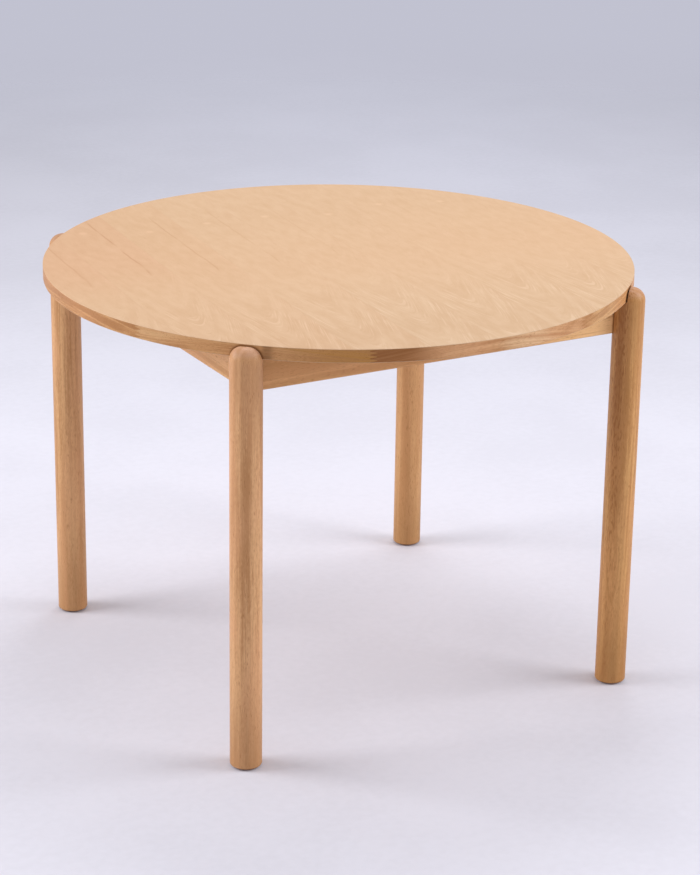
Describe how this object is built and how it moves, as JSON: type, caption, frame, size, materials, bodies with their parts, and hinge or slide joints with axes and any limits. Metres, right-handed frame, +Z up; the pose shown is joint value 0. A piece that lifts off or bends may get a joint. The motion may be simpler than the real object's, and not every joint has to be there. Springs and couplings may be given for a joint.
{
  "type": "round dining table",
  "caption": "Round dining table: a veneered top with a finger-jointed solid edge, held between the notched, domed heads of straight round legs on an apron frame.",
  "frame": {"origin": "on the floor under the middle of the round top", "axes": "+Z up, -Y the front, +X the right side; the legs stand on the diagonals between the axes"},
  "size_m": [1.05, 1.05, 0.75],
  "materials": {
    "face_veneer": "matt lacquered pale veneer",
    "back_veneer": "matt sealed veneer",
    "core_board": "raw fibre board",
    "edge_wood": "matt lacquered solid wood",
    "leg_wood": "matt lacquered turned solid wood",
    "apron_wood": "matt lacquered solid wood",
    "block_wood": "planed, unfinished",
    "zinc_steel": "bright zinc plated",
    "yellow_steel": "yellow zinc plated",
    "glide_plastic": "dark brown nylon"
  },
  "bodies": {
    "root": {"veneer_leaf_1": "face_veneer", "veneer_leaf_2": "face_veneer", "veneer_leaf_3": "face_veneer", "veneer_leaf_4": "face_veneer", "veneer_leaf_5": "face_veneer", "veneer_leaf_6": "face_veneer", "veneer_leaf_7": "face_veneer", "veneer_leaf_8": "face_veneer", "veneer_leaf_9": "face_veneer", "top_core": "core_board", "underside_veneer": "back_veneer", "lipping_right": "edge_wood", "lipping_back_right": "edge_wood", "lipping_back": "edge_wood", "lipping_back_left": "edge_wood", "lipping_left": "edge_wood", "lipping_front_left": "edge_wood", "lipping_front": "edge_wood", "lipping_front_right": "edge_wood", "leg_back_right": "leg_wood", "leg_back_left": "leg_wood", "leg_front_left": "leg_wood", "leg_front_right": "leg_wood", "apron_right": "apron_wood", "apron_back": "apron_wood", "apron_left": "apron_wood", "apron_front": "apron_wood", "corner_block_back_right": "block_wood", "corner_block_back_left": "block_wood", "corner_block_front_left": "block_wood", "corner_block_front_right": "block_wood", "hanger_bolts_back_right": "zinc_steel", "hanger_bolts_back_left": "zinc_steel", "hanger_bolts_front_left": "zinc_steel", "hanger_bolts_front_right": "zinc_steel", "block_screws_back_right": "yellow_steel", "block_screws_back_left": "yellow_steel", "block_screws_front_left": "yellow_steel", "block_screws_front_right": "yellow_steel", "angle_brackets_right": "zinc_steel", "angle_brackets_back": "zinc_steel", "angle_brackets_left": "zinc_steel", "angle_brackets_front": "zinc_steel", "glide_back_right": "glide_plastic", "glide_back_left": "glide_plastic", "glide_front_left": "glide_plastic", "glide_front_right": "glide_plastic", "washers": "zinc_steel", "hex_nuts": "zinc_steel", "bracket_screws": "yellow_steel", "glide_nails": "zinc_steel"}
  },
  "joints": []
}
